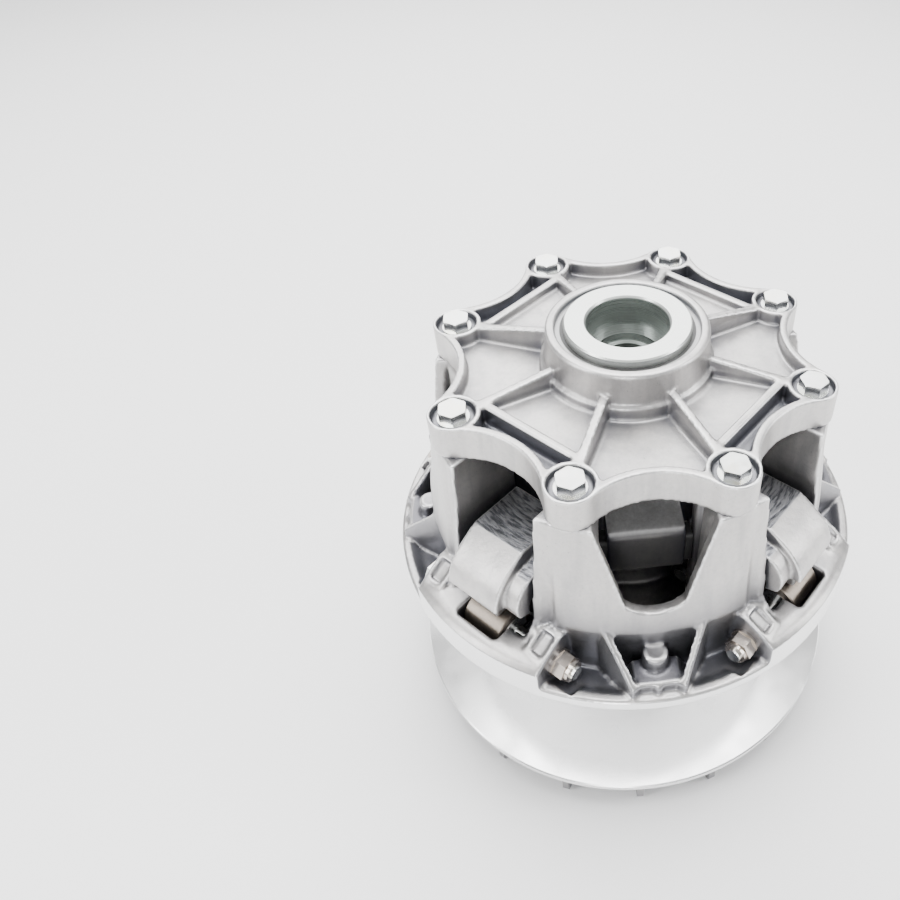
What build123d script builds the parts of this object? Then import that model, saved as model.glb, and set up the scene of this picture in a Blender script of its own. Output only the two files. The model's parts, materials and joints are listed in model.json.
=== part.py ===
from build123d import *
import os
from math import cos, sin, radians, tan, sqrt

# Primary (drive) clutch of a belt CVT.
# Millimetres, +Z along the shaft towards the cover, origin on the shaft axis at the
# plane of the cooling-fin tips and hub foot, which the clutch stands on.
# "Tower" directions are the four multiples of 90 degrees, "slot" directions lie half-way.
# Slot-local coordinates: s outwards along the slot, w sideways, z up.
# Tower-local coordinates: t outwards along the tower, v sideways, z up.

# ---- Driving dimensions -------------------------------------------------------------
TOWER_ANGLES = (-90, 0, 90, 180)
SLOTS = {1: (-135, 1), 2: (-45, -1), 3: (45, -1), 4: (135, 1)}  # angle, side of the nut
FACE_ANGLE = 13.0            # belt face, from the radial plane
FACE_SLOPE = tan(radians(FACE_ANGLE))

POST_R = 25.7
POST_TOP = 201.9
POST_POCKET_R = 16.7
POST_POCKET_DEPTH = 16.0
BOLT_BORE_R = 6.75           # clearance for the shaft's retaining bolt
TAPER_MOUTH_R = 19.0
TAPER_END_R = 15.0
TAPER_LENGTH = 76.0
RUN = 0.05                   # radial clearance of every running fit

FIXED_R = 103.8
FIXED_EDGE_Z = 20.8
FIXED_LAND = 3.0
FIXED_WALL = 5.5
FIXED_HUB_R = 36.0
FIN_COUNT = 18
FIN_THICK = 3.0
FIN_R = 100.5
FIN_PHASE = 267.0            # direction of the first fin

SLIDE_R = 105.0
SLIDE_EDGE_Z = 91.3
SLIDE_WALL = 5.5
LIP_R = 101.0                # inside of the low rim lip round the tower pockets
LIP_TOP = 96.8
CREST_TOP = 102.0            # the lip's highest part, in front of each tower
SECTOR_TOP = 108.5           # raised rim round each roller
SECTOR_R = 76.0              # inside of that raised rim
SECTOR_HALF = 33.5           # half-width of that raised rim, and seat of the nut
HUB_R = 34.0
HUB_TOP = 115.0
HUB_POCKET_R = 31.5          # pocket that passes over the idler sleeve
BUSH_R = 29.0
BUSH_LENGTH = 15.5

SLOT_HALF = 20.0             # clear half-width between two towers
PLATE = 3.0                  # thickness of a tower's side plate
PLATE_INNER_S = 50.0
TOWER_TOP = 171.5
TOWER_WALL = 5.0
RAIL_HALF = 18.6             # half-width between the guide rails inside a tower
PEG_T, PEG_R, PEG_TOP = 90.2, 5.3, 109.5
WINDOW_TOP_HALF = 22.6
WINDOW_LOW_HALF = 11.3
WINDOW_LOW_Z = 133.0
WINDOW_FLOOR_Z = 129.5

COVER_BOLTS = 8
BOLT_CIRCLE_R = 75.2
BOSS_R = 9.8
COUNTERBORE_R = 8.5
COUNTERBORE_Z = 182.7
COVER_TOP = 186.5
PANEL_TOP = 180.5
PANEL_UNDER = 175.5
SLOT_PANEL_TOP = 182.8       # panels over the slots lie higher than those over the towers
POCKET_FLOOR = 179.0         # floor of the pockets outside the chord ribs
COVER_CAVITY_R = 65.5        # hollow under the cover that clears the spider arms
HUB_FOOT_R = 35.4
SCALLOP_R = 33.4
SCALLOP_CENTRE = 101.7
COVER_BORE_R = 29.0
COVER_BOSS_TOP = 200.5
RIB_HALF = 2.0
CHORD_IN, CHORD_OUT = 56.8, 60.3  # faces of the rib that joins two bolt bosses

M6_R = 3.0
HEX_AF = 10.0
COVER_HEAD = 4.5

ROLLER_S, ROLLER_Z = 87.0, 101.5
ROLLER_R = 9.3
ROLLER_HALF = 9.8
ROLLER_BORE_R = 5.0

PIVOT_S, PIVOT_Z = 45.0, 93.5
PIVOT_PIN_R = 3.5
PIVOT_BUSH_R = 4.8
PIVOT_BOSS_R = 7.0
PIVOT_HALF = 10.2
LUG_IN, LUG_OUT = 10.5, 16.0

CUP_IN_R, CUP_R = 39.0, 42.0
CUP_FLOOR, CUP_SEAT, CUP_TOP = 117.0, 121.0, 146.0
ARM_HALF = 15.5
ARM_END = 62.0
ARM_LOW = 124.0
SHOE_LOW, SHOE_TOP = 126.0, 141.5

SPRING_R, SPRING_WIRE = 35.0, 5.0
SPRING_TURNS = 4.5
SEAT_THICK = 1.5

IDLER_R, IDLER_IN_R = 30.0, 27.7
IDLER_LOW, IDLER_TOP = 40.2, 69.4


# ---- Helpers ------------------------------------------------------------------------
def disc(radius, low, high, x=0.0, y=0.0):
    """Solid cylinder standing on z = low."""
    align = (Align.CENTER, Align.CENTER, Align.MIN)
    return Pos(x, y, low) * Cylinder(radius, high - low, align=align)


def ring(inner, outer, low, high):
    return disc(outer, low, high) - disc(inner, low - 1, high + 1)


def turned(points):
    """Solid of revolution about Z from an (r, z) outline."""
    return revolve(Plane.XZ * Polygon(*points, align=None), Axis.Z)


def slab(outline, low, high):
    """Plate with an outline in local (x, z), standing between two y values."""
    if isinstance(outline, list):
        outline = Polygon(*outline, align=None)
    return Pos(0, low, 0) * extrude(Plane.XZ * outline, high - low, dir=(0, 1, 0))


def plan(outline, low, high):
    """Upright prism from a plan outline in (x, y)."""
    if isinstance(outline, list):
        outline = Polygon(*outline, align=None)
    return Pos(0, 0, low) * extrude(outline, high - low, dir=(0, 0, 1))


def cross_pin(radius, low, high, s, z):
    """Cylinder across a slot, from w = low to w = high."""
    return Pos(s, (low + high) / 2, z) * Rot(90, 0, 0) * Cylinder(radius, high - low)


def cross_ring(inner, outer, low, high, s, z):
    return cross_pin(outer, low, high, s, z) - cross_pin(inner, low - 1, high + 1, s, z)


def cross_hex(flats, low, high, s, z):
    prism = extrude(RegularPolygon(flats / 2, 6, major_radius=False), (high - low) / 2, both=True)
    return Pos(s, (low + high) / 2, z) * Rot(90, 0, 0) * prism


def wall(start, end, thick, low, top_start, top_end):
    """Upright rib between two plan points, with a sloping top edge."""
    run = Vector(end[0] - start[0], end[1] - start[1], 0)
    outline = [(0, low), (run.length, low), (run.length, top_end), (0, top_start)]
    heading = run.get_signed_angle(Vector(1, 0, 0), Vector(0, 0, -1))
    return Pos(start[0], start[1], 0) * Rot(0, 0, heading) * slab(outline, -thick / 2, thick / 2)


def around(shape, angles):
    return [Rot(0, 0, angle) * shape for angle in angles]


def in_slot(shape, number):
    """Places a slot-local shape in a numbered slot, mirrored where the nut is on -w."""
    angle, side = SLOTS[number]
    local = shape if side > 0 else mirror(shape, Plane.XZ)
    return Rot(0, 0, angle) * local


def face_z(edge_z, edge_r, r, facing):
    """Height of a belt face at radius r; facing is +1 for the fixed sheave."""
    return edge_z + facing * (edge_r - r) * FACE_SLOPE


def slide_face(r):
    return face_z(SLIDE_EDGE_Z, SLIDE_R, r, -1)


def fixed_face(r):
    return face_z(FIXED_EDGE_Z, FIXED_R, r, 1)


# ---- Fixed half and shaft -------------------------------------------------------------
def fixed_sheave():
    under = FIXED_EDGE_Z - FIXED_LAND
    back_r = 97.0
    body = turned([
        (POST_R, 0), (FIXED_HUB_R, 0), (FIXED_HUB_R + 1.5, 14),
        (FIXED_HUB_R + 6, fixed_face(FIXED_HUB_R + 6) - FIXED_WALL),
        (back_r, fixed_face(back_r) - FIXED_WALL), (FIN_R, under - 1), (FIXED_R - 0.6, under - 0.4),
        (FIXED_R, under + 0.4), (FIXED_R, FIXED_EDGE_Z - 0.4), (FIXED_R - 0.5, FIXED_EDGE_Z + 0.1),
        (POST_R + 2, fixed_face(POST_R + 2)), (POST_R, fixed_face(POST_R + 2)),
    ])
    root = FIXED_HUB_R - 1
    tip = 3.5
    fin = slab([
        (root, 1.5), (root + 8, 0), (FIN_R - tip, 0), (FIN_R - 1, 1), (FIN_R, tip),
        (FIN_R, under - 0.8), (back_r, fixed_face(back_r) - 3), (root, fixed_face(root) - 3),
    ], -FIN_THICK / 2, FIN_THICK / 2)
    step = 360 / FIN_COUNT
    return body + around(fin, [FIN_PHASE + step * k for k in range(FIN_COUNT)])


def clutch_post():
    pocket_floor = POST_TOP - POST_POCKET_DEPTH
    outer = [(0, 0), (POST_R - 1, 0), (POST_R, 1), (POST_R, POST_TOP - 0.6), (POST_R - 0.6, POST_TOP),
             (0, POST_TOP)]
    bore = turned([
        (0, -1), (TAPER_MOUTH_R, -1), (TAPER_MOUTH_R, 0), (TAPER_END_R, TAPER_LENGTH),
        (BOLT_BORE_R, TAPER_LENGTH + 5), (BOLT_BORE_R, pocket_floor - 13),
        (10.4, pocket_floor - 13), (10.4, pocket_floor - 3.2), (12.6, pocket_floor - 3.2),
        (13.4, pocket_floor), (POST_POCKET_R, pocket_floor), (POST_POCKET_R, POST_TOP - 0.8),
        (POST_POCKET_R + 0.8, POST_TOP), (POST_POCKET_R + 0.8, POST_TOP + 1), (0, POST_TOP + 1),
    ])
    return turned(outer) - bore


def idler_sleeve():
    return chamfer(ring(IDLER_IN_R, IDLER_R, IDLER_LOW, IDLER_TOP).edges().group_by(Axis.Z)[-1], 0.5)


def one_way_bearing():
    """Sprag cage pressed on the post, inside the idler sleeve."""
    cage = ring(POST_R, IDLER_IN_R - RUN, IDLER_LOW + 1, IDLER_TOP - 1)
    windows = [Rot(0, 0, a) * Pos(POST_R + 1, 0, (IDLER_LOW + IDLER_TOP) / 2) * Box(4, 2.2, 22)
               for a in range(0, 360, 15)]
    return cage - windows


def spider():
    """Governor cup: seats the spring and carries the pivots and the guide arms."""
    cup = turned([
        (POST_R, CUP_FLOOR), (CUP_R - 2, CUP_FLOOR), (CUP_R, CUP_FLOOR + 2), (CUP_R, CUP_TOP - 0.8),
        (CUP_R - 0.8, CUP_TOP), (CUP_IN_R, CUP_TOP), (CUP_IN_R, CUP_SEAT), (POST_R, CUP_SEAT),
    ])
    arm = slab([
        (CUP_IN_R + 1, CUP_FLOOR + 1), (CUP_R + 4, ARM_LOW - 4), (ARM_END, ARM_LOW), (ARM_END, CUP_TOP - 2),
        (ARM_END - 2, CUP_TOP), (CUP_IN_R + 1, CUP_TOP),
    ], -ARM_HALF, ARM_HALF)
    lug_outline = make_face(
        Polyline((PIVOT_S + PIVOT_BOSS_R, PIVOT_Z), (PIVOT_S + PIVOT_BOSS_R - 2, CUP_SEAT),
                 (PIVOT_S - 11, CUP_SEAT), (PIVOT_S - PIVOT_BOSS_R, PIVOT_Z))
        + ThreePointArc((PIVOT_S - PIVOT_BOSS_R, PIVOT_Z), (PIVOT_S, PIVOT_Z - PIVOT_BOSS_R),
                        (PIVOT_S + PIVOT_BOSS_R, PIVOT_Z)))
    lug = slab(lug_outline, LUG_IN, LUG_OUT)
    lugs = [lug, mirror(lug, Plane.XZ)]
    slot_angles = [angle for angle, side in SLOTS.values()]
    body = cup + around(arm, TOWER_ANGLES)
    for piece in lugs:
        body += around(piece, slot_angles)
    pin_hole = cross_pin(PIVOT_PIN_R, -LUG_OUT - 1, LUG_OUT + 1, PIVOT_S, PIVOT_Z)
    return body - around(pin_hole, slot_angles) - ring(CUP_IN_R - 10, CUP_IN_R, CUP_SEAT, CUP_TOP + 1)


def slider_shoes():
    """Two flat wear shoes on each guide arm."""
    shoe = Pos(ARM_END - 4.6, ARM_HALF + 1.4, (SHOE_LOW + SHOE_TOP) / 2) * Box(8, 2.8, SHOE_TOP - SHOE_LOW)
    shoe = fillet(shoe.edges().filter_by(Axis.Y), 1.5)
    return around(shoe, TOWER_ANGLES) + around(mirror(shoe, Plane.XZ), TOWER_ANGLES)


def pivot_pins():
    pin = cross_pin(PIVOT_PIN_R, -LUG_OUT - 2.4, LUG_OUT + 2.4, PIVOT_S, PIVOT_Z)
    return [in_slot(pin, number) for number in SLOTS]


def pivot_clips():
    """Snap ring on each end of a pivot pin."""
    clip = cross_ring(PIVOT_PIN_R, PIVOT_PIN_R + 1.8, LUG_OUT + 0.4, LUG_OUT + 1.4, PIVOT_S, PIVOT_Z)
    gap = Pos(PIVOT_S + PIVOT_PIN_R + 1, LUG_OUT + 1, PIVOT_Z) * Box(4, 3, 2.4)
    clip -= gap
    return [in_slot(c, number) for number in SLOTS for c in (clip, mirror(clip, Plane.XZ))]


def spider_nut():
    """Slotted ring nut that clamps the spider on the post."""
    body = ring(POST_R, 31.0, CUP_SEAT, CUP_SEAT + 6)
    notch = Pos(31.0, 0, CUP_SEAT + 4.5) * Box(4, 5, 6)
    return body - around(notch, range(0, 360, 60))


def spring_seat():
    return ring(31.6, CUP_IN_R - 0.4, CUP_SEAT, CUP_SEAT + SEAT_THICK)


def primary_spring():
    low = CUP_SEAT + SEAT_THICK + SPRING_WIRE / 2
    high = PANEL_UNDER - SPRING_WIRE / 2
    height = high - low
    path = Pos(0, 0, low) * Helix(height / SPRING_TURNS, height, SPRING_R)
    section = Plane(path @ 0, z_dir=path % 0) * Circle(SPRING_WIRE / 2)
    return sweep(section, path, is_frenet=True)


def idler_washer():
    return ring(POST_R, IDLER_R + 0.6, fixed_face(POST_R + 2) + 0.02, IDLER_LOW - 0.3)


def idler_snap_ring():
    body = ring(POST_R, 28.6, IDLER_TOP + 0.3, IDLER_TOP + 1.8)
    return body - Pos(POST_R + 1, 0, IDLER_TOP + 1) * Box(8, 5, 4)


# ---- Sliding half ----------------------------------------------------------------------
def sheave_blank():
    """Turned disc with the high rim all round and the hub that carries the bushing."""
    web = SLIDE_WALL
    return turned([
        (HUB_POCKET_R, slide_face(HUB_R)), (HUB_R, slide_face(HUB_R)), (SLIDE_R - 0.4, SLIDE_EDGE_Z - 0.1),
        (SLIDE_R, SLIDE_EDGE_Z + 0.3), (SLIDE_R, SECTOR_TOP - 3), (SLIDE_R - 2.5, SECTOR_TOP - 0.8),
        (SLIDE_R - 6, SECTOR_TOP), (SECTOR_R, SECTOR_TOP), (SECTOR_R, slide_face(SECTOR_R) + web),
        (HUB_R + 4, slide_face(HUB_R + 4) + web), (HUB_R, slide_face(HUB_R) + web + 6), (HUB_R, HUB_TOP - 1),
        (HUB_R - 1, HUB_TOP), (BUSH_R, HUB_TOP), (BUSH_R, HUB_TOP - BUSH_LENGTH),
        (HUB_POCKET_R, HUB_TOP - BUSH_LENGTH),
    ])


def tower_room():
    """Space cut from the high rim round a tower's foot, leaving the low lip, in tower coordinates."""
    apex = SECTOR_HALF * sqrt(2)
    reach = 130.0
    wedge = plan([(apex, 0), (reach, apex - reach), (reach, reach - apex)], 80, 130)
    floor_in, floor_out = SECTOR_R - 0.8, LIP_R - 3.5
    wall_thick = SLIDE_WALL - 1.2
    above = turned([
        (floor_in, slide_face(floor_in) + wall_thick), (floor_out, slide_face(floor_out) + wall_thick),
        (LIP_R, LIP_TOP), (SLIDE_R - 1, LIP_TOP), (SLIDE_R + 1, LIP_TOP - 2), (SLIDE_R + 5, LIP_TOP - 2),
        (SLIDE_R + 5, 125), (floor_in, 125),
    ])
    crest = Polygon((-16, 90), (-9, CREST_TOP), (9, CREST_TOP), (16, 90), align=None)
    return above & wedge - Pos(LIP_R - 0.4, 0, 0) * extrude(Plane.YZ * crest, 12)


def pin_boss():
    """Raised block over the roller bolt, beside the slot, with a shallow recess in its top."""
    block = slab([
        (77.5, 100), (96.5, 100), (96.5, SECTOR_TOP - 1), (95, SECTOR_TOP + 0.8), (85, SECTOR_TOP + 6.2),
        (81.5, SECTOR_TOP + 6.2), (77.5, SECTOR_TOP + 3),
    ], SLOT_HALF + PLATE, SECTOR_HALF)
    middle = (SLOT_HALF + PLATE + SECTOR_HALF) / 2
    recess = Pos(89.6, middle, SECTOR_TOP + 3.2) * Rot(0, 28, 0) * Box(9.5, 6.0, 2.6)
    return block - recess


def side_plate():
    """Flat tower wall beside a slot, flared to the rim at its foot."""
    foot = slide_face(PLATE_INNER_S) + 2
    outline = make_face(
        Polyline((76.0, TOWER_TOP), (PLATE_INNER_S, TOWER_TOP), (PLATE_INNER_S, foot),
                 (97.0, slide_face(97.0) + 2), (97.0, 104.0), (94.0, 106.0))
        + Spline((94.0, 106.0), (87.0, 114.5), (82.6, 125.0), (80.8, 142.0), tangents=((-0.7, 1), (0, 1)))
        + Line((80.8, 142.0), (80.8, TOWER_TOP - 6.0))
        + TangentArc((80.8, TOWER_TOP - 6.0), (76.0, TOWER_TOP - 1.2), tangent=(0, 1))
        + Line((76.0, TOWER_TOP - 1.2), (76.0, TOWER_TOP)))
    return slab(outline, SLOT_HALF, SLOT_HALF + PLATE)


def tower():
    """Front wall, bolt columns, window, legs, peg and guide rails, in tower coordinates."""
    apex = SLOT_HALF * sqrt(2)
    reach = 125.0
    wedge = plan([(apex, 0), (reach, apex - reach), (reach, reach - apex)], 80, 180)
    outer = [(87.0, 92.0), (86.2, 97.0), (86.4, 108.0), (88.2, 118.0), (87.8, 124.0), (86.6, 136.0),
             (84.8, 152.0), (83.6, TOWER_TOP)]
    inner = [(r - TOWER_WALL, z) for r, z in reversed(outer)]
    skin = turned(outer + inner) & wedge
    half_step = radians(180 / COVER_BOLTS)
    for side in (-1, 1):
        t, v = BOLT_CIRCLE_R * cos(half_step), side * BOLT_CIRCLE_R * sin(half_step)
        column = Pos(t, v, 90) * Cone(BOSS_R + 1.2, BOSS_R - 0.9, TOWER_TOP - 90,
                                      align=(Align.CENTER, Align.CENTER, Align.MIN))
        skin += column & wedge
        flute = Pos(90.6, 0, 104) * Rot(0, -3.4, 0) * disc(3.4, 0, 80)
        skin -= Rot(0, 0, side * 27.2) * flute
    window = make_face(Polyline(
        (-WINDOW_LOW_HALF, WINDOW_LOW_Z), (-WINDOW_TOP_HALF - 0.3, TOWER_TOP + 1),
        (WINDOW_TOP_HALF + 0.3, TOWER_TOP + 1), (WINDOW_LOW_HALF, WINDOW_LOW_Z))
        + ThreePointArc((WINDOW_LOW_HALF, WINDOW_LOW_Z), (0, WINDOW_FLOOR_Z - 0.5),
                        (-WINDOW_LOW_HALF, WINDOW_LOW_Z)))
    opening = Pos(66, 0, 0) * extrude(Plane.YZ * window, 40)
    skin -= opening
    rim_z = slide_face(LIP_R) + 1.5
    for side in (-1, 1):
        skin += wall((84.0, side * 20.0), (102.0, side * 9.2), 3.0, rim_z, 122.0, CREST_TOP - 0.6)
        rail_v = side * RAIL_HALF
        rail = [(56, rail_v), (62, rail_v), (62, side * 30.5), (56, side * 24.5)]
        skin += plan(rail, slide_face(72) + 1, TOWER_TOP)
    foot_z = slide_face(85.0) + 2
    peg = disc(PEG_R, foot_z, PEG_TOP - 1.2, PEG_T) + disc(PEG_R - 1.0, PEG_TOP - 1.5, PEG_TOP, PEG_T)
    web = wall((PEG_T + 3, 0), (102, 0), 2.2, rim_z, CREST_TOP, CREST_TOP - 1.5)
    cup = disc(PEG_R - 1.9, PEG_TOP - 0.6, PEG_TOP + 1, PEG_T)
    return skin + peg + web - cup


def sliding_sheave():
    slot_angles = [angle for angle, side in SLOTS.values()]
    flank = side_plate() + pin_boss()
    body = sheave_blank() - around(tower_room(), TOWER_ANGLES)
    body += around(tower(), TOWER_ANGLES)
    body += around(flank, slot_angles) + around(mirror(flank, Plane.XZ), slot_angles)
    roller_room = cross_pin(ROLLER_R + 1.0, -ROLLER_HALF - 1, ROLLER_HALF + 1, ROLLER_S, ROLLER_Z)
    above = Pos(ROLLER_S + 0.6, 0, ROLLER_Z + 10) * Box(2 * ROLLER_R + 3.2, 2 * ROLLER_HALF + 2, 20)
    room_low = 99.5
    arm_room = slab([(74, room_low), (88, room_low), (90.5, 102), (90.5, 125), (74, 125)],
                    ROLLER_HALF, SLOT_HALF - 1.5)
    rear_room = slab([(70, room_low), (78, room_low), (78, 125), (70, 125)], -SLOT_HALF, SLOT_HALF)
    pin_room = cross_pin(M6_R + RUN, -SECTOR_HALF - 2, SECTOR_HALF + 2, ROLLER_S, ROLLER_Z)
    nut_room = cross_pin(8.2, SECTOR_HALF, SECTOR_HALF + 12, ROLLER_S, ROLLER_Z)
    head_room = cross_pin(8.2, -SECTOR_HALF - 8, -SECTOR_HALF, ROLLER_S, ROLLER_Z)
    cuts = [roller_room, above, arm_room, rear_room, pin_room, nut_room, head_room]
    body -= [in_slot(cut, number) for number in SLOTS for cut in cuts]
    step = 360 / COVER_BOLTS
    tapped = disc(M6_R, TOWER_TOP - 24, TOWER_TOP + 5, BOLT_CIRCLE_R)
    return body - around(tapped, [step * (k + 0.5) for k in range(COVER_BOLTS)])


def sheave_bushing():
    return ring(POST_R + RUN, BUSH_R, HUB_TOP - BUSH_LENGTH, HUB_TOP)


def cover_outline():
    step = 360 / COVER_BOLTS
    star = Circle(80.0)
    star -= [Rot(0, 0, step * k) * Pos(SCALLOP_CENTRE, 0) * Circle(SCALLOP_R) for k in range(COVER_BOLTS)]
    star += [Rot(0, 0, step * (k + 0.5)) * Pos(BOLT_CIRCLE_R, 0) * Circle(BOSS_R) for k in range(COVER_BOLTS)]
    return star


def panel_sector(inner_r, inner_t, outer_t):
    """Plan of the space between two ribs, in panel coordinates, outside inner_r and inner_t."""
    half = radians(180 / COVER_BOLTS)
    offset = RIB_HALF / sin(half)
    far = 90.0
    far_half = (far - offset) * tan(half)
    sector = Polygon((offset, 0), (far, -far_half), (far, far_half), align=None)
    sector -= Circle(inner_r)
    sector -= Pos(outer_t + 40, 0) * Rectangle(80, 160)
    sector -= Pos(inner_t - 40, 0) * Rectangle(80, 160)
    for side in (-1, 1):
        t, v = BOLT_CIRCLE_R * cos(half), side * BOLT_CIRCLE_R * sin(half)
        sector -= Pos(t, v) * Circle(BOSS_R + 0.6)
    return sector


def cover():
    half_step = 180 / COVER_BOLTS
    body = plan(cover_outline(), TOWER_TOP, COVER_TOP)
    body -= disc(COVER_CAVITY_R, TOWER_TOP - 1, PANEL_UNDER)
    rim = Pos(SCALLOP_CENTRE, 0) * Circle(SCALLOP_R + 3.2)
    tower_panel = panel_sector(HUB_FOOT_R, 0, 90) - rim
    slot_panel = panel_sector(HUB_FOOT_R, 0, CHORD_IN)
    pocket = panel_sector(HUB_FOOT_R, CHORD_OUT, 90) - rim
    body -= around(plan(tower_panel, PANEL_TOP, COVER_TOP + 1), TOWER_ANGLES)
    slot_angles = [angle for angle, side in SLOTS.values()]
    body -= around(plan(slot_panel, SLOT_PANEL_TOP, COVER_TOP + 1), slot_angles)
    body -= around(plan(pocket, POCKET_FLOOR, COVER_TOP + 1), slot_angles)
    boss = turned([
        (COVER_BORE_R, 168.0), (31.5, 168.0), (31.5, PANEL_UNDER), (HUB_FOOT_R, PANEL_UNDER),
        (HUB_FOOT_R, PANEL_TOP), (34.6, PANEL_TOP + 1.5), (33.9, PANEL_TOP + 5.0), (33.4, PANEL_TOP + 11),
        (33.0, COVER_BOSS_TOP - 0.9),
        (32.3, COVER_BOSS_TOP - 0.2), (31.6, COVER_BOSS_TOP), (COVER_BORE_R + 0.7, COVER_BOSS_TOP),
        (COVER_BORE_R, COVER_BOSS_TOP - 0.7),
    ])
    body = body - disc(33.0, 160, 210) + boss
    bolt_angles = [2 * half_step * (k + 0.5) for k in range(COVER_BOLTS)]
    rib = wall((31.5, 0), (66.0, 0), 2 * RIB_HALF - 0.6, PANEL_TOP, COVER_TOP + 5, COVER_TOP - 0.2)
    body += around(rib, bolt_angles)
    body -= disc(COVER_BORE_R, 160, 210)
    body -= around(disc(COUNTERBORE_R, COUNTERBORE_Z, 200, BOLT_CIRCLE_R), bolt_angles)
    return body - around(disc(M6_R + 0.3, 160, 200, BOLT_CIRCLE_R), bolt_angles)


def cover_bushing():
    return ring(POST_R + RUN, COVER_BORE_R, 172.0, COVER_BOSS_TOP - 2.2)


def hex_head(low, high):
    """Upright hexagon head with its corners turned down on top."""
    corner = HEX_AF / 2 + 1
    head = Pos(0, 0, low) * extrude(RegularPolygon(HEX_AF / 2, 6, major_radius=False), high - low)
    return head & turned([(0, low), (corner, low), (corner, high - 0.35), (HEX_AF / 2 + 0.45, high), (0, high)])


def bolt_angles_with_turn():
    """Each bolt's direction, and how far its head happens to be turned."""
    step = 360 / COVER_BOLTS
    return [(step * (k + 0.5), (17 * k) % 60) for k in range(COVER_BOLTS)]


def cover_bolts():
    washer_top = COUNTERBORE_Z + 1.5
    bolt = hex_head(washer_top, washer_top + COVER_HEAD)
    bolt += disc(M6_R - 0.05, TOWER_TOP - 22, washer_top)
    return [Rot(0, 0, angle) * Pos(BOLT_CIRCLE_R, 0, 0) * Rot(0, 0, turn) * bolt
            for angle, turn in bolt_angles_with_turn()]


def cover_washers():
    washer = Pos(BOLT_CIRCLE_R, 0, 0) * ring(M6_R + 0.2, 6.1, COUNTERBORE_Z, COUNTERBORE_Z + 1.5)
    return around(washer, [angle for angle, turn in bolt_angles_with_turn()])


# ---- Roller pins, nuts and rollers ------------------------------------------------------
def roller_bolts():
    """M6 bolt through each roller, head on one side of the slot and nut on the other."""
    shank = cross_pin(M6_R, -SECTOR_HALF, SECTOR_HALF + 9.5, ROLLER_S, ROLLER_Z)
    head = cross_hex(HEX_AF, -SECTOR_HALF - 4.0, -SECTOR_HALF, ROLLER_S, ROLLER_Z)
    return [in_slot(shank + head, number) for number in SLOTS]


def lock_nuts():
    low = SECTOR_HALF + 1.2
    nut = cross_hex(HEX_AF, low, low + 5.2, ROLLER_S, ROLLER_Z)
    nut += cross_pin(4.5, low + 5.2, low + 6.9, ROLLER_S, ROLLER_Z)
    nut -= cross_pin(M6_R + 0.02, low - 1, low + 9, ROLLER_S, ROLLER_Z)
    nut -= cross_pin(3.9, low + 5.2, low + 6.3, ROLLER_S, ROLLER_Z)
    return [in_slot(nut, number) for number in SLOTS]


def nut_inserts():
    """Nylon ring inside the collar of each lock nut."""
    low = SECTOR_HALF + 6.4
    insert = cross_ring(M6_R + 0.02, 3.88, low + 0.02, low + 1.08, ROLLER_S, ROLLER_Z)
    return [in_slot(insert, number) for number in SLOTS]


def nut_washers():
    washer = cross_ring(M6_R + 0.1, 6.0, SECTOR_HALF, SECTOR_HALF + 1.2, ROLLER_S, ROLLER_Z)
    return [in_slot(washer, number) for number in SLOTS]


def roller_washers():
    """Thin washers between a roller and the walls of its pocket."""
    washer = cross_ring(M6_R + 0.1, 6.5, ROLLER_HALF + 0.2, ROLLER_HALF + 0.9, ROLLER_S, ROLLER_Z)
    return [in_slot(w, number) for number in SLOTS for w in (washer, mirror(washer, Plane.XZ))]


def roller(number):
    body = cross_ring(ROLLER_BORE_R, ROLLER_R, -ROLLER_HALF, ROLLER_HALF, ROLLER_S, ROLLER_Z)
    rims = body.edges().filter_by(GeomType.CIRCLE).group_by(SortBy.RADIUS)[-1]
    return in_slot(chamfer(rims, 0.5), number)


def roller_bush(number):
    bush = cross_ring(M6_R + RUN, ROLLER_BORE_R, -ROLLER_HALF + 0.1, ROLLER_HALF - 0.1, ROLLER_S, ROLLER_Z)
    return in_slot(bush, number)


# ---- Flyweights --------------------------------------------------------------------------
def flyweight(number):
    """Swinging weight: pivot boss, web with the pad on the roller, broad head, side arm."""
    pad_low = ROLLER_Z + ROLLER_R + 0.35
    crown = make_face(
        Polyline((79.0, 142.8), (54.5, 142.8), (52.5, 138.0), (77.5, 137.6))
        + Spline((77.5, 137.6), (84.0, 134.2), (89.3, 128.5), (91.6, 121.6))
        + Line((91.6, 121.6), (95.9, 122.2))
        + Spline((95.9, 122.2), (95.0, 128.5), (91.2, 134.4), (85.6, 138.9), (79.0, 142.8)))
    head = slab(crown, -15.0, 11.0)
    web = slab([
        (PIVOT_S - 4, PIVOT_Z + 4), (44.0, 112.0), (47.5, 122.0), (53.0, 140.0), (76.0, 139.5), (86.0, 130.0),
        (92.0, 122.5), (92.0, pad_low + 1.0), (81.0, pad_low - 0.2), (78.5, 108.0),
        (PIVOT_S + 5, PIVOT_Z - 4),
    ], -6.5, 6.5)
    boss = cross_pin(PIVOT_BOSS_R, -PIVOT_HALF, PIVOT_HALF, PIVOT_S, PIVOT_Z)
    side = make_face(
        Polyline((82.0, 136.0), (60.0, 139.0), (60.0, 133.0), (78.0, 129.0))
        + Spline((78.0, 129.0), (83.0, 124.5), (84.5, 117.0))
        + Line((84.5, 117.0), (89.4, 118.6))
        + Spline((89.4, 118.6), (91.4, 125.2), (89.6, 131.0), (86.3, 134.6), (82.0, 136.0)))
    arm = slab(side, 10.0, 18.0)
    body = head + web + boss + arm
    return in_slot(body - cross_pin(PIVOT_BUSH_R, -20, 20, PIVOT_S, PIVOT_Z), number)


def flyweight_bush(number):
    bush = cross_ring(PIVOT_PIN_R + RUN, PIVOT_BUSH_R, -PIVOT_HALF + 0.1, PIVOT_HALF - 0.1, PIVOT_S, PIVOT_Z)
    return in_slot(bush, number)


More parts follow.
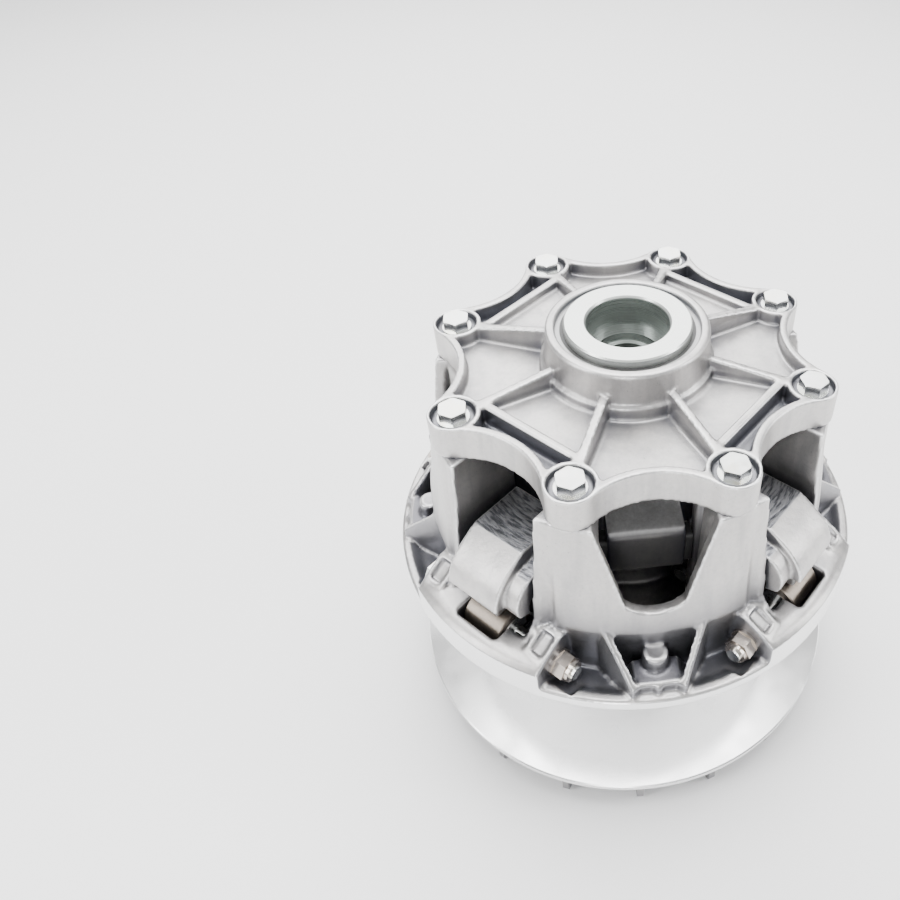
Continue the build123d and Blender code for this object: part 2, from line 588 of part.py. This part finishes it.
# ---- Output --------------------------------------------------------------------------------
def parts():
    single = {
        "fixed_sheave": fixed_sheave, "clutch_post": clutch_post, "idler_sleeve": idler_sleeve,
        "one_way_bearing": one_way_bearing, "spider": spider, "slider_shoes": slider_shoes,
        "pivot_pins": pivot_pins, "pivot_clips": pivot_clips, "spider_nut": spider_nut,
        "spring_seat": spring_seat, "primary_spring": primary_spring, "idler_washer": idler_washer,
        "idler_snap_ring": idler_snap_ring, "sliding_sheave": sliding_sheave,
        "sheave_bushing": sheave_bushing, "cover": cover, "cover_bushing": cover_bushing,
        "cover_bolts": cover_bolts, "cover_washers": cover_washers, "roller_bolts": roller_bolts,
        "lock_nuts": lock_nuts, "nut_inserts": nut_inserts, "nut_washers": nut_washers,
        "roller_washers": roller_washers,
    }
    for name, make in single.items():
        yield name, make()
    numbered = {"flyweight": flyweight, "flyweight_bush": flyweight_bush, "roller": roller,
                "roller_bush": roller_bush}
    for name, make in numbered.items():
        for number in SLOTS:
            yield f"{name}_{number}", make(number)


os.makedirs("parts", exist_ok=True)
for node, shape in parts():
    whole = Compound(children=list(shape)) if isinstance(shape, (list, ShapeList)) else shape
    export_step(whole, f"parts/{node}.step")
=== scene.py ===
import json
from math import cos, radians, sin

import bpy
import numpy as np
from mathutils import Matrix, Vector


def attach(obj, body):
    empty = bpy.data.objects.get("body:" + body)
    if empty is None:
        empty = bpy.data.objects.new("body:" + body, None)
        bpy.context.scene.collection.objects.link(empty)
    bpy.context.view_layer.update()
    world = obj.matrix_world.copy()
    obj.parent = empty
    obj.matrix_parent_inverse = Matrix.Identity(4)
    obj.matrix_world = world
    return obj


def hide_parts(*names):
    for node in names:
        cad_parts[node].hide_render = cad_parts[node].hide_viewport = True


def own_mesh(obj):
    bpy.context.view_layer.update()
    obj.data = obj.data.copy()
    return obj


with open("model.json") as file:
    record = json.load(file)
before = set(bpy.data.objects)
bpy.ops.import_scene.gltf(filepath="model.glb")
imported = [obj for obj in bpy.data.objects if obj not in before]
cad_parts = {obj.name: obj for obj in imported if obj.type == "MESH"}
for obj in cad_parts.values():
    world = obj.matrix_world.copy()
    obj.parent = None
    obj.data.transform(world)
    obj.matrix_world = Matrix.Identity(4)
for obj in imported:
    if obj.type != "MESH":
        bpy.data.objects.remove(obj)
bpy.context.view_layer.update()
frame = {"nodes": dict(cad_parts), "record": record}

MM = 0.001
SCENE = bpy.context.scene

# Places on the castings, in metres
TURNED_BAND_R = 104.55 * MM
BELT_FACE_SLOPE, BELT_FACE_FOOT = 0.2309, 67.45 * MM
FIXED_LAND_R, FIXED_BACK_Z = 103.0 * MM, 19 * MM
# Painted shade on the tower skin fades from the foot height up to the upper height
TOWER_SKIN_R, TOWER_FOOT_Z, TOWER_SHADE_END_Z = 78 * MM, 110 * MM, 140 * MM
BAY_INNER_R, BAY_OUTER_R, BAY_HALF, BAY_TOP_Z = 84 * MM, 98.8 * MM, 8 * MM, 102.5 * MM
POST_BORE_R = 16.75 * MM
BUSH_FILM_R = 27.1 * MM


# ---- Camera, floor and light -----------------------------------------------------------
AZIMUTH, ELEVATION, ROLL = radians(-7.93), radians(41.90), radians(0.76)
DISTANCE = 357.8 * MM
TARGET = Vector((0, 0, 155.5 * MM))
OFF_AXIS = (-0.41 * MM, -0.13 * MM)
SENSOR, LENS = 36.0, 33.16
LAMP_AIM = Vector((0, 0, 0.1))
SHIFT = (-0.1975, -0.047)


def add_camera():
    back = Vector((sin(AZIMUTH) * cos(ELEVATION), -cos(AZIMUTH) * cos(ELEVATION), sin(ELEVATION)))
    level = Vector((cos(AZIMUTH), sin(AZIMUTH), 0))
    upright = back.cross(level)
    right = cos(ROLL) * level + sin(ROLL) * upright
    up = cos(ROLL) * upright - sin(ROLL) * level
    place = TARGET + DISTANCE * back - OFF_AXIS[0] * right - OFF_AXIS[1] * up
    data = bpy.data.cameras.new("camera")
    data.sensor_width, data.lens = SENSOR, LENS
    data.shift_x, data.shift_y = SHIFT
    data.clip_start = 0.01
    camera = bpy.data.objects.new("camera", data)
    turn = Matrix((right, up, back)).transposed().to_4x4()
    camera.matrix_world = Matrix.Translation(place) @ turn
    SCENE.collection.objects.link(camera)
    SCENE.camera = camera


def add_floor():
    mesh = bpy.data.meshes.new("floor")
    half = 6.0
    corners = [(-half, -half, 0), (half, -half, 0), (half, half, 0), (-half, half, 0)]
    mesh.from_pydata(corners, [], [(0, 1, 2, 3)])
    floor = bpy.data.objects.new("floor", mesh)
    SCENE.collection.objects.link(floor)
    paint = bpy.data.materials.new("floor")
    paint.use_nodes = True
    shader = paint.node_tree.nodes["Principled BSDF"]
    shader.inputs["Base Color"].default_value = (0.93, 0.93, 0.93, 1)
    shader.inputs["Roughness"].default_value = 0.9
    mesh.materials.append(paint)


def add_lamp(name, place, size, power):
    data = bpy.data.lights.new(name, "AREA")
    data.shape = "RECTANGLE"
    data.size, data.size_y = size
    data.energy = power
    lamp = bpy.data.objects.new(name, data)
    lamp.location = place
    lamp.rotation_euler = (LAMP_AIM - Vector(place)).to_track_quat("-Z", "Y").to_euler()
    SCENE.collection.objects.link(lamp)


def add_light():
    world = bpy.data.worlds.new("studio")
    world.use_nodes = True
    tree = world.node_tree
    background = tree.nodes["Background"]
    background.inputs["Strength"].default_value = 1.0
    direction = tree.nodes.new("ShaderNodeTexCoord").outputs["Generated"]
    split = tree.nodes.new("ShaderNodeSeparateXYZ")
    tree.links.new(direction, split.inputs[0])
    ramp = tree.nodes.new("ShaderNodeValToRGB")
    ramp.color_ramp.elements[0].color = (0.42, 0.43, 0.45, 1)
    ramp.color_ramp.elements[1].color = (1.0, 1.0, 1.0, 1)
    ramp.color_ramp.elements[1].position = 0.8
    tree.links.new(split.outputs["Z"], ramp.inputs[0])
    tree.links.new(ramp.outputs[0], background.inputs["Color"])
    SCENE.world = world
    add_lamp("overhead", (0.05, 0.2, 1.25), (1.3, 1.0), 31)
    add_lamp("back", (-0.1, 1.1, 0.9), (1.4, 0.8), 18)
    add_lamp("left", (-1.0, -0.35, 0.7), (0.35, 1.0), 11)
    add_lamp("right", (1.05, -0.25, 0.6), (0.3, 0.9), 8)
    add_lamp("front", (-0.25, -1.3, 0.55), (0.25, 0.7), 7)


# ---- Node helpers ------------------------------------------------------------------------
class Paint:
    """A node material in the making: each call adds a node and returns its output."""

    def __init__(self, name, **values):
        self.material = bpy.data.materials.new(name)
        self.material.use_nodes = True
        self.tree = self.material.node_tree
        self.shader = self.tree.nodes["Principled BSDF"]
        for socket, value in values.items():
            self.shader.inputs[socket.replace("_", " ")].default_value = value
        self.place = self.node("ShaderNodeTexCoord").outputs["Object"]

    def node(self, kind, **settings):
        made = self.tree.nodes.new(kind)
        for key, value in settings.items():
            setattr(made, key, value)
        return made

    def join(self, source, socket):
        if isinstance(source, bpy.types.NodeSocket):
            self.tree.links.new(source, socket)
        else:
            socket.default_value = source

    def to(self, socket, source):
        self.join(source, self.shader.inputs[socket])

    def noise(self, scale, detail=3.0, rough=0.55, vector=None):
        made = self.node("ShaderNodeTexNoise")
        self.join(vector or self.place, made.inputs["Vector"])
        for name, value in (("Scale", scale), ("Detail", detail), ("Roughness", rough)):
            made.inputs[name].default_value = value
        return made.outputs["Fac"]

    def stretch(self, factors, vector=None):
        made = self.node("ShaderNodeVectorMath", operation="MULTIPLY")
        self.join(vector or self.place, made.inputs[0])
        made.inputs[1].default_value = factors
        return made.outputs["Vector"]

    def math(self, operation, first, second=0.0):
        made = self.node("ShaderNodeMath", operation=operation)
        self.join(first, made.inputs[0])
        self.join(second, made.inputs[1])
        return made.outputs[0]

    def fade(self, source, low, high, out_low=0.0, out_high=1.0):
        made = self.node("ShaderNodeMapRange", interpolation_type="SMOOTHSTEP")
        self.join(source, made.inputs["Value"])
        limits = {"From Min": low, "From Max": high, "To Min": out_low, "To Max": out_high}
        for name, value in limits.items():
            made.inputs[name].default_value = value
        return made.outputs["Result"]

    def mix(self, factor, first, second):
        made = self.node("ShaderNodeMix", data_type="RGBA")
        self.join(factor, made.inputs["Factor"])
        sockets = [s for s in made.inputs if s.type == "RGBA"]
        self.join(first, sockets[0])
        self.join(second, sockets[1])
        return next(s for s in made.outputs if s.type == "RGBA")

    def height(self):
        return self.part("Z")

    def part(self, axis, vector=None):
        made = self.node("ShaderNodeSeparateXYZ")
        self.join(vector or self.place, made.inputs[0])
        return made.outputs[axis]

    def radius(self):
        flat = self.stretch((1, 1, 0))
        made = self.node("ShaderNodeVectorMath", operation="LENGTH")
        self.join(flat, made.inputs[0])
        return made.outputs["Value"]

    def normal_z(self):
        return self.part("Z", self.node("ShaderNodeNewGeometry").outputs["Normal"])

    def openness(self, reach):
        made = self.node("ShaderNodeAmbientOcclusion", samples=6)
        made.inputs["Distance"].default_value = reach
        return made.outputs["AO"]

    def edges(self):
        return self.node("ShaderNodeNewGeometry").outputs["Pointiness"]

    def rings(self, radius, height, scale=3200.0):
        """Tool lines round the shaft: a place that depends on radius and height alone."""
        made = self.node("ShaderNodeCombineXYZ")
        self.join(self.math("MULTIPLY", radius, scale), made.inputs[0])
        self.join(self.math("MULTIPLY", height, scale), made.inputs[1])
        return made.outputs[0]

    def bump(self, height, depth, strength):
        made = self.node("ShaderNodeBump")
        made.inputs["Distance"].default_value = depth
        made.inputs["Strength"].default_value = strength
        self.join(height, made.inputs["Height"])
        return made.outputs["Normal"]


def grey(level, warm=0.0):
    return (level * (1 + warm), level, level * (1 - warm), 1)


# ---- Materials ---------------------------------------------------------------------------
# Colour of the hollows on the castings: grey oxide together with painted shade
SHADE = (0.17, 0.173, 0.195, 1)


def cast_layers(paint, light, reach, shade=SHADE, edge_wear_and_shade=True):
    """Colour, roughness and relief of a tumbled casting: bright faces, grey oxide and painted shade in
    the corners.

    The edge flag is for the finely meshed castings alone, where curvature is known all over; it paints
    shade into concave creases and lightens convex edges, partly as edge wear and partly as a painted
    highlight.
    """
    patches = paint.noise(55, 4)
    streaks = paint.noise(130, 4, 0.6, paint.stretch((1, 1, 0.12)))
    fine = paint.noise(520, 5, 0.7)
    # Ambient occlusion mixes in the hollow colour: partly grey oxide, partly painted shade in corners and
    # recesses
    open_air = paint.fade(paint.openness(reach), 0.30, 0.92)
    mottle = paint.math("MULTIPLY", paint.fade(patches, 0.3, 0.62, 0.82, 1.0),
                        paint.fade(streaks, 0.3, 0.6, 0.74, 1.0))
    mottle = paint.math("MULTIPLY", mottle, paint.fade(fine, 0.35, 0.6, 0.88, 1.0))
    clean_and_unshaded = paint.math("MULTIPLY", open_air, mottle)
    colour = paint.mix(clean_and_unshaded, shade, grey(light, 0.03))
    pits = paint.fade(paint.noise(1500, 2, 0.5), 0.66, 0.74, 0.0, 0.45)
    colour = paint.mix(pits, colour, grey(0.12))
    if edge_wear_and_shade:
        # Painted shade: concave creases are darkened
        crease_shade = paint.fade(paint.edges(), 0.42, 0.49, 0.75, 0.0)
        colour = paint.mix(crease_shade, colour, grey(0.07))
        # Convex edges are lightened: partly edge wear, partly a painted highlight
        wear_and_highlight = paint.fade(paint.edges(), 0.51, 0.56, 0.0, 0.75)
        colour = paint.mix(wear_and_highlight, colour, grey(0.92))
    rough = paint.fade(patches, 0.25, 0.75, 0.30, 0.44)
    relief = paint.math("ADD", paint.math("MULTIPLY", fine, 0.8), paint.math("MULTIPLY", streaks, 0.35))
    return colour, rough, relief


def cast_aluminium():
    paint = Paint("cast_aluminium", Metallic=0.9)
    colour, rough, relief = cast_layers(paint, 0.56, 0.014)
    paint.to("Base Color", colour)
    paint.to("Roughness", rough)
    paint.to("Normal", paint.bump(relief, 0.25 * MM, 0.35))
    return paint.material


def sheave_aluminium():
    """Casting whose rim band and belt face are turned bright."""
    paint = Paint("sheave_aluminium", Metallic=0.9)
    colour, rough, relief = cast_layers(paint, 0.54, 0.020)
    radius, height = paint.radius(), paint.height()
    # Painted shade: the upright tower skin is darkened towards its foot, fading out higher up
    upright = paint.fade(paint.normal_z(), 0.5, 0.7, 1.0, 0.0)
    foot_shade = paint.math("MULTIPLY", paint.fade(height, TOWER_FOOT_Z, TOWER_SHADE_END_Z, 0.85, 0.0), upright)
    foot_shade = paint.math("MULTIPLY", foot_shade, paint.math("GREATER_THAN", radius, TOWER_SKIN_R))
    colour = paint.mix(foot_shade, colour, (0.20, 0.20, 0.215, 1))
    # Painted shade: the low bay under each tower is painted dark
    sideways = paint.math("MINIMUM", paint.math("ABSOLUTE", paint.part("X")),
                          paint.math("ABSOLUTE", paint.part("Y")))
    bay_shade = paint.math("MULTIPLY", paint.fade(sideways, BAY_HALF, BAY_HALF + 1 * MM, 0.85, 0.0),
                     paint.fade(height, BAY_TOP_Z, BAY_TOP_Z + 1.5 * MM, 1.0, 0.0))
    bay_shade = paint.math("MULTIPLY", bay_shade, paint.fade(radius, BAY_OUTER_R, BAY_OUTER_R + 1.2 * MM, 1.0, 0.0))
    bay_shade = paint.math("MULTIPLY", bay_shade, paint.math("GREATER_THAN", radius, BAY_INNER_R))
    colour = paint.mix(bay_shade, colour, (0.10, 0.10, 0.115, 1))
    band = paint.math("GREATER_THAN", radius, TURNED_BAND_R)
    face = paint.math("ADD", paint.math("MULTIPLY", radius, BELT_FACE_SLOPE), BELT_FACE_FOOT)
    below = paint.math("LESS_THAN", height, face)
    low = paint.math("LESS_THAN", paint.normal_z(), 0.2)
    turned = paint.math("MAXIMUM", band, paint.math("MULTIPLY", below, low))
    rings = paint.noise(1.0, 2, 0.6, paint.rings(radius, height))
    shine = paint.mix(rings, grey(0.86), grey(0.95))
    paint.to("Base Color", paint.mix(turned, colour, shine))
    paint.to("Roughness", paint.math("ADD", paint.math("MULTIPLY", turned, -0.16), rough))
    relief = paint.math("MULTIPLY", relief, paint.math("SUBTRACT", 1.0, turned))
    relief = paint.math("ADD", relief, paint.math("MULTIPLY", rings, 0.12))
    paint.to("Normal", paint.bump(relief, 0.25 * MM, 0.35))
    return paint.material


def turned_aluminium():
    """Fixed sheave: bright turned belt face, duller cast back and fins."""
    paint = Paint("turned_aluminium", Metallic=0.92, Anisotropic=0.75)
    colour, rough, relief = cast_layers(paint, 0.40, 0.02, edge_wear_and_shade=False)
    radius, height = paint.radius(), paint.height()
    face = paint.math("MULTIPLY", paint.math("GREATER_THAN", paint.normal_z(), 0.3),
                      paint.math("GREATER_THAN", height, FIXED_BACK_Z))
    land = paint.math("GREATER_THAN", radius, FIXED_LAND_R)
    turned = paint.math("MAXIMUM", face, land)
    rings = paint.noise(1.0, 2, 0.6, paint.rings(radius, height))
    shine = paint.mix(rings, grey(0.88), grey(0.97))
    paint.to("Base Color", paint.mix(turned, colour, shine))
    paint.to("Roughness", paint.math("ADD", paint.math("MULTIPLY", turned, -0.14), rough))
    tangent = paint.node("ShaderNodeTangent", direction_type="RADIAL", axis="Z")
    paint.to("Tangent", tangent.outputs[0])
    relief = paint.math("MULTIPLY", relief, paint.math("SUBTRACT", 1.0, turned))
    relief = paint.math("ADD", relief, paint.math("MULTIPLY", rings, 0.15))
    paint.to("Normal", paint.bump(relief, 0.2 * MM, 0.3))
    return paint.material


def weight_casting():
    """Flyweight: tumbled casting with a brushed, darker top."""
    paint = Paint("weight_casting", Metallic=0.9)
    colour, rough, relief = cast_layers(paint, 0.56, 0.012)
    top = paint.fade(paint.normal_z(), 0.93, 0.985)
    across = paint.node("ShaderNodeCombineXYZ")
    paint.join(paint.math("MULTIPLY", paint.radius(), 900.0), across.inputs[0])
    paint.join(paint.math("MULTIPLY", paint.part("X"), 150.0), across.inputs[1])
    paint.join(paint.math("MULTIPLY", paint.part("Y"), 150.0), across.inputs[2])
    strokes = paint.noise(1.0, 3, 0.65, across.outputs[0])
    brushed = paint.mix(paint.fade(strokes, 0.36, 0.62), (0.11, 0.112, 0.125, 1), (0.36, 0.365, 0.385, 1))
    paint.to("Base Color", paint.mix(top, colour, brushed))
    paint.to("Roughness", rough)
    relief = paint.math("ADD", relief, paint.math("MULTIPLY", paint.math("MULTIPLY", strokes, top), 1.6))
    paint.to("Normal", paint.bump(relief, 0.3 * MM, 0.5))
    return paint.material


def spider_casting():
    """Grey casting, painted dark on its sides and in its hollows as painted shade, and paler on its
    upward faces as painted light.
    """
    paint = Paint("spider_casting", Metallic=0.6)
    # Dark base and hollow colour: painted shade on the sides and inside
    colour, rough, relief = cast_layers(paint, 0.12, 0.02, (0.05, 0.05, 0.066, 1), edge_wear_and_shade=False)
    # Painted light: upward faces are painted paler
    top = paint.fade(paint.normal_z(), 0.6, 0.9)
    grain = paint.noise(600, 4, 0.7)
    paint.to("Base Color", paint.mix(top, colour, paint.mix(grain, grey(0.36), grey(0.75))))
    paint.to("Roughness", rough)
    paint.to("Normal", paint.bump(relief, 0.25 * MM, 0.4))
    return paint.material


def post_steel():
    """Turned post: pale ring on top, with painted shade darkening the inside of its bore."""
    paint = Paint("post_steel", Metallic=0.95)
    radius, height = paint.radius(), paint.height()
    rings = paint.noise(1.0, 3, 0.6, paint.rings(radius, height, 2600.0))
    outside = paint.fade(radius, POST_BORE_R, POST_BORE_R + 0.25 * MM)
    # Painted shade: the bore wall is given a darker colour
    bore = paint.mix(rings, (0.26, 0.28, 0.27, 1), (0.55, 0.58, 0.56, 1))
    ring = paint.mix(rings, (0.62, 0.65, 0.62, 1), (0.78, 0.80, 0.77, 1))
    paint.to("Base Color", paint.mix(outside, bore, ring))
    paint.to("Roughness", paint.fade(rings, 0.3, 0.7, 0.26, 0.36))
    paint.to("Normal", paint.bump(rings, 0.06 * MM, 0.25))
    return paint.material


def machined(name, level, rough, ring=True, warm=0.0, spread=0.08):
    """Machined or ground metal: fine tool lines round the shaft, or a fine mottle without ring."""
    paint = Paint(name, Metallic=0.95)
    radius, height = paint.radius(), paint.height()
    if ring:
        lines = paint.noise(1.0, 3, 0.6, paint.rings(radius, height, 2600.0))
    else:
        lines = paint.noise(900, 3)
    patches = paint.noise(70, 3)
    blend = paint.math("ADD", paint.math("MULTIPLY", lines, 0.5), paint.math("MULTIPLY", patches, 0.5))
    paint.to("Base Color", paint.mix(blend, grey(level - spread, warm), grey(level + spread, warm)))
    paint.to("Roughness", paint.fade(patches, 0.3, 0.7, rough - 0.04, rough + 0.08))
    paint.to("Normal", paint.bump(lines, 0.06 * MM, 0.25))
    return paint.material


def lined_bushing():
    """Steel-backed bushing: dark bearing film inside a plain grey shell."""
    paint = Paint("lined_bushing")
    shell = paint.fade(paint.radius(), BUSH_FILM_R, BUSH_FILM_R + 0.2 * MM)
    mottle = paint.noise(900, 3)
    paint.to("Base Color", paint.mix(shell, paint.mix(mottle, grey(0.02), grey(0.05)),
                                     paint.mix(mottle, grey(0.30), grey(0.46))))
    paint.to("Metallic", paint.math("MULTIPLY", shell, 0.9))
    paint.to("Roughness", paint.fade(mottle, 0.3, 0.7, 0.32, 0.46))
    return paint.material


def zinc():
    paint = Paint("zinc", Metallic=1.0)
    mottle = paint.noise(400, 2)
    tint = paint.noise(120, 2)
    base = paint.mix(mottle, (0.74, 0.76, 0.74, 1), (0.88, 0.89, 0.87, 1))
    paint.to("Base Color", paint.mix(paint.fade(tint, 0.45, 0.7, 0, 0.35), base, (0.80, 0.76, 0.62, 1)))
    paint.to("Roughness", paint.fade(mottle, 0.3, 0.7, 0.20, 0.26))
    paint.to("Normal", paint.bump(mottle, 0.02 * MM, 0.1))
    return paint.material


def dull(name, colour, rough, metallic=0.0):
    """Moulded, oxide or coated surface with a fine mottle."""
    paint = Paint(name, Metallic=metallic)
    mottle = paint.noise(500, 4)
    broad = paint.noise(60, 2)
    darker = tuple(0.72 * c for c in colour) + (1,)
    lighter = tuple(min(1, 1.28 * c) for c in colour) + (1,)
    blend = paint.math("ADD", paint.math("MULTIPLY", mottle, 0.6), paint.math("MULTIPLY", broad, 0.4))
    paint.to("Base Color", paint.mix(blend, darker, lighter))
    paint.to("Roughness", paint.fade(mottle, 0.3, 0.7, rough - 0.05, rough + 0.08))
    paint.to("Normal", paint.bump(mottle, 0.08 * MM, 0.35))
    return paint.material


# ---- Pieces --------------------------------------------------------------------------------
def clothe(node, material):
    mesh = frame["nodes"][node].data
    mesh.materials.clear()
    mesh.materials.append(material)


def body_of(node):
    groups = frame["record"]["behaviour"]["bodies"]
    return next(body for body, members in groups.items() if node in members)


def apply_modifiers(thing):
    graph = bpy.context.evaluated_depsgraph_get()
    thing.data = bpy.data.meshes.new_from_object(thing.evaluated_get(graph))
    thing.modifiers.clear()


def cast_copy(node, material, voxel, rounds, faces, keep=None):
    """Remakes a CAD casting with the soft edges and fillets that moulding and tumbling leave.

    keep(points) gives, for an array of points in metres, how much of the smoothing each one takes.
    """
    source = frame["nodes"][node]
    piece = bpy.data.objects.new(node + "_casting", source.data.copy())
    SCENE.collection.objects.link(piece)
    weld = piece.modifiers.new("weld", "WELD")
    weld.merge_threshold = 1e-6
    remesh = piece.modifiers.new("remesh", "REMESH")
    remesh.mode = "VOXEL"
    remesh.voxel_size = voxel
    remesh.use_smooth_shade = True
    apply_modifiers(piece)
    group = piece.vertex_groups.new(name="soft")
    count = len(piece.data.vertices)
    points = np.zeros(count * 3, np.float32)
    piece.data.vertices.foreach_get("co", points)
    share = keep(points.reshape(-1, 3)) if keep else np.ones(count)
    for level in np.unique(share):
        group.add(np.nonzero(share == level)[0].tolist(), float(level), "REPLACE")
    smooth = piece.modifiers.new("smooth", "SMOOTH")
    smooth.factor, smooth.iterations, smooth.vertex_group = 0.5, rounds, "soft"
    if len(piece.data.polygons) * 2 > faces:
        thin = piece.modifiers.new("thin", "DECIMATE")
        thin.ratio = faces / (2 * len(piece.data.polygons))
    apply_modifiers(piece)
    piece.vertex_groups.clear()
    piece.data.materials.clear()
    piece.data.materials.append(material)
    piece.data.shade_smooth()
    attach(piece, body_of(node))
    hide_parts(node)


def add_spring(material):
    """The primary spring as a coil, attached to the body it moves with."""
    source = frame["nodes"]["primary_spring"]
    piece = bpy.data.objects.new("primary_spring_coil", source.data.copy())
    SCENE.collection.objects.link(piece)
    piece.data.materials.clear()
    piece.data.materials.append(material)
    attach(piece, body_of("primary_spring"))
    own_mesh(piece)
    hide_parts("primary_spring")


def sheave_keep(points):
    """The turned band, belt face and hub bore stay crisp; everything else softens."""
    radius = np.hypot(points[:, 0], points[:, 1])
    face = 67.05 * MM + 0.2309 * radius
    crisp = (radius > 103.6 * MM) | (points[:, 2] < face + 0.8 * MM) | (radius < 34.5 * MM)
    return np.where(crisp, 0.25, 1.0)


def cover_keep(points):
    radius = np.hypot(points[:, 0], points[:, 1])
    return np.where((radius < 32 * MM) & (points[:, 2] > 199 * MM), 0.4, 1.0)


add_camera()
add_floor()
add_light()

CAST = cast_aluminium()
WEIGHT = weight_casting()
BRIGHT = zinc()
GROUND = machined("ground_steel", 0.6, 0.24)
NUT = machined("plated_nut", 0.46, 0.2, ring=False, warm=0.10, spread=0.03)
DARK = dull("dark_steel", (0.05, 0.05, 0.055), 0.42, metallic=0.7)
BRONZE = dull("sintered_bronze", (0.42, 0.30, 0.16), 0.45, metallic=0.9)

clothe("fixed_sheave", turned_aluminium())
clothe("clutch_post", post_steel())
clothe("slider_shoes", dull("shoe_nylon", (0.03, 0.03, 0.03), 0.5))
clothe("cover_bushing", lined_bushing())
clothe("sheave_bushing", BRONZE)
clothe("nut_inserts", dull("nylon", (0.3, 0.28, 0.22), 0.45))
for node in ("idler_sleeve", "pivot_pins", "idler_washer", "roller_washers"):
    clothe(node, GROUND)
for node in ("one_way_bearing", "pivot_clips", "spider_nut", "spring_seat", "idler_snap_ring"):
    clothe(node, DARK)
for node in ("cover_bolts", "cover_washers", "roller_bolts"):
    clothe(node, BRIGHT)
for node in ("lock_nuts", "nut_washers"):
    clothe(node, NUT)
ROLLER = machined("roller_steel", 0.17, 0.32, ring=False, warm=0.16)
for number in range(1, 5):
    clothe(f"roller_{number}", ROLLER)
    clothe(f"roller_bush_{number}", BRONZE)
    clothe(f"flyweight_bush_{number}", BRONZE)
    cast_copy(f"flyweight_{number}", WEIGHT, 0.6 * MM, 5, 60000)
cast_copy("sliding_sheave", sheave_aluminium(), 0.8 * MM, 6, 190000, sheave_keep)
cast_copy("spider", spider_casting(), 0.8 * MM, 5, 90000)
cast_copy("cover", CAST, 0.7 * MM, 5, 150000, cover_keep)

add_spring(dull("spring_steel", (0.07, 0.07, 0.08), 0.35, metallic=0.8))
